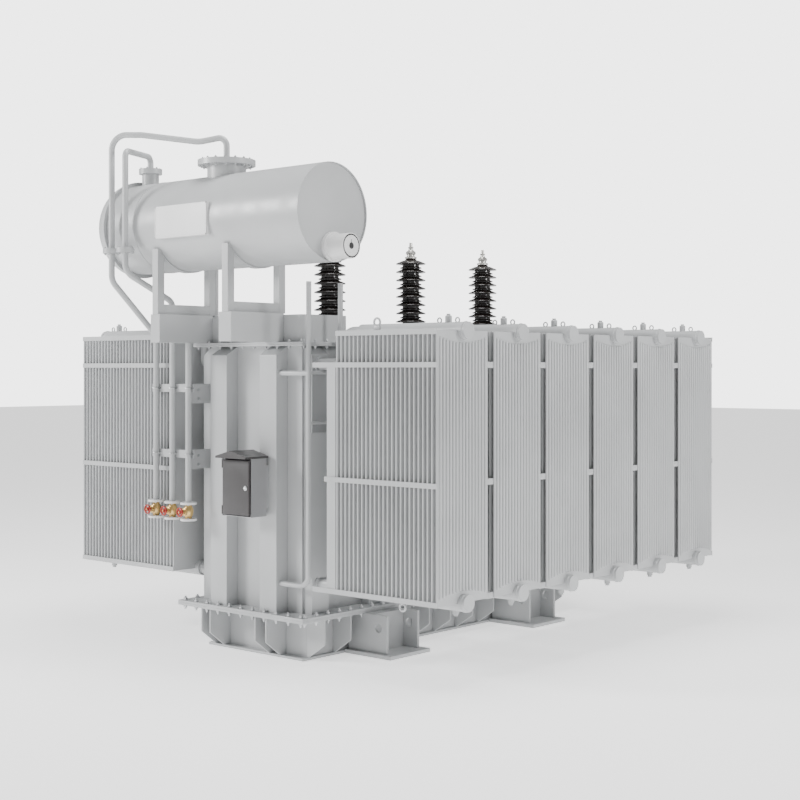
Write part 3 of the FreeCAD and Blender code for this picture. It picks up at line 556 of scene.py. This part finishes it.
# %% Handwheels
for index, x in enumerate(drain_xs, 1):
    low, high = limits("handwheel_%d" % index)
    hub_y = high.y
    depth = high.y - low.y
    radius = (high.x - low.x) / 2
    bm = bmesh.new()
    centre = Vector((x, (low.y + high.y) / 2, valve_mid))
    ring(bm, centre, Y, radius - 0.006, 0.006, 40, 12)
    spun(bm, [(0.0054, 0), (0.014, 0), (0.015, 0.002), (0.013, depth), (0.0054, depth), (0.0054, 0)],
         (x, low.y, valve_mid), Y, 24)
    for k in range(4):
        spoke = Matrix.Rotation(radians(90 * k + 45), 3, "Y") @ X
        bar(bm, centre + spoke * 0.012, spoke, 0.0042, radius - 0.018, 10)
    wheel = keep(bm, "wheel_rim_%d" % index, "wheel_%d" % index, red_enamel)
    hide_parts("handwheel_%d" % index)

# %% [markdown]
# Each pipe is held to its clamp bar by a bent rod with two nuts, and each bar is bolted to a bracket.

# %% Pipe clamps
bm = bmesh.new()
CLAMP_HEIGHTS, TANK_SIDE_X, LUG_T, LUG_Y = (1.898, 1.417), -0.485, 0.006, -1.60
for z in CLAMP_HEIGHTS:
    for x in drain_xs:
        spun(bm, [(0.024 + 0.004 + 0.004 * cos(a), 0.004 * sin(a)) for a in [2 * pi * k / 8 for k in range(9)]],
             (x, drain_y, z), Z, 12, angle=pi)
        for step in (-0.028, 0.028):
            bar(bm, (x + step, drain_y, z), Y, 0.004, 0.040, 8)
            bolt(bm, (x + step, drain_y + 0.0285, z), Y, 0.007)
    for step in (-0.080, -0.015):
        bolt(bm, (TANK_SIDE_X, LUG_Y, z + step), -X, 0.011, 0.006)
        bolt(bm, (TANK_SIDE_X + LUG_T, LUG_Y, z + step), X, 0.011, 0.006)
keep(bm, "pipe_clamps", "tank", zinc)

# %% [markdown]
# The cabinet is a small sheet-metal box. Its door has rolled edges, a lock with a cover on the right and
# two hinge knuckles on the left.

# %% Cabinet door
door_low, door_high = limits("cabinet_door")
body_low, body_high = limits("cabinet_body")
bm = bmesh.new()
block(bm, (body_low.x + 0.001, door_low.y + 0.0, door_low.z), (door_high.x, door_high.y, door_high.z), 0.004, 3)
for z0, z1 in ((door_low.z, door_low.z + 0.06), (door_high.z - 0.06, door_high.z)):
    spun(bm, [(0.0048, 0), (0.008, 0), (0.008, z1 - z0), (0.0048, z1 - z0), (0.0048, 0)], (-0.001, -1.791, z0), Z, 20)
    block(bm, (0.004, -1.797, z0), (0.02, -1.785, z1), 0.001, 1)
leaf = keep(bm, "door_leaf", "door", charcoal)
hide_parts("cabinet_door")
bm = bmesh.new()
lock_x, lock_z = door_high.x - 0.032, (door_low.z + door_high.z) / 2
spun(bm, [(0.0001, 0.006), (0.013, 0.006), (0.017, 0.003), (0.017, 0)], (lock_x, door_low.y, lock_z), -Y, 32)
block(bm, (lock_x - 0.012, door_low.y - 0.011, lock_z - 0.003), (lock_x + 0.012, door_low.y - 0.005, lock_z + 0.003), 0.001, 2)
keep(bm, "door_lock", "door", zinc)

# %% [markdown]
# A plain pale floor and large soft lights show the light grey paint without hard shadows.

# %% Floor and light
bm = bmesh.new()
bmesh.ops.create_grid(bm, x_segments=1, y_segments=1, size=60)
floor_mesh = bpy.data.meshes.new("floor")
bm.to_mesh(floor_mesh)
bm.free()
floor = bpy.data.objects.new("floor", floor_mesh)
bpy.context.collection.objects.link(floor)
floor_paint = bpy.data.materials.new("floor")
floor_paint.use_nodes = True
floor_paint.node_tree.nodes["Principled BSDF"].inputs["Base Color"].default_value = (0.93, 0.93, 0.93, 1)
floor_paint.node_tree.nodes["Principled BSDF"].inputs["Roughness"].default_value = 0.9
floor_paint.node_tree.nodes["Principled BSDF"].inputs["Emission Color"].default_value = (1, 1, 1, 1)
floor_paint.node_tree.nodes["Principled BSDF"].inputs["Emission Strength"].default_value = 1.0
floor_mesh.materials.append(floor_paint)

world = bpy.data.worlds.new("studio")
world.use_nodes = True
sky = world.node_tree
light_path = sky.nodes.new("ShaderNodeLightPath")
strength = sky.nodes.new("ShaderNodeMapRange")
strength.inputs["To Min"].default_value = 0.48
strength.inputs["To Max"].default_value = 4.0
sky.links.new(light_path.outputs["Is Camera Ray"], strength.inputs["Value"])
sky.nodes["Background"].inputs["Color"].default_value = (1, 1, 1, 1)
sky.links.new(strength.outputs["Result"], sky.nodes["Background"].inputs["Strength"])
bpy.context.scene.world = world


def lamp(name, at, aim, size, power):
    data = bpy.data.lights.new(name, "AREA")
    data.shape = "DISK"
    data.size = size
    data.energy = power
    light = bpy.data.objects.new(name, data)
    light.location = at
    light.rotation_euler = (Vector(at) - Vector(aim)).to_track_quat("Z", "Y").to_euler()
    bpy.context.collection.objects.link(light)


lamp("key", (-6.5, -8.5, 5.5), (0, 0, 1.6), 3.0, 980)
lamp("side", (9.5, 1.5, 4.5), (1, 0, 1.4), 2.5, 420)
lamp("top", (1.0, -1.0, 9.0), (0, 0, 1), 4.0, 600)
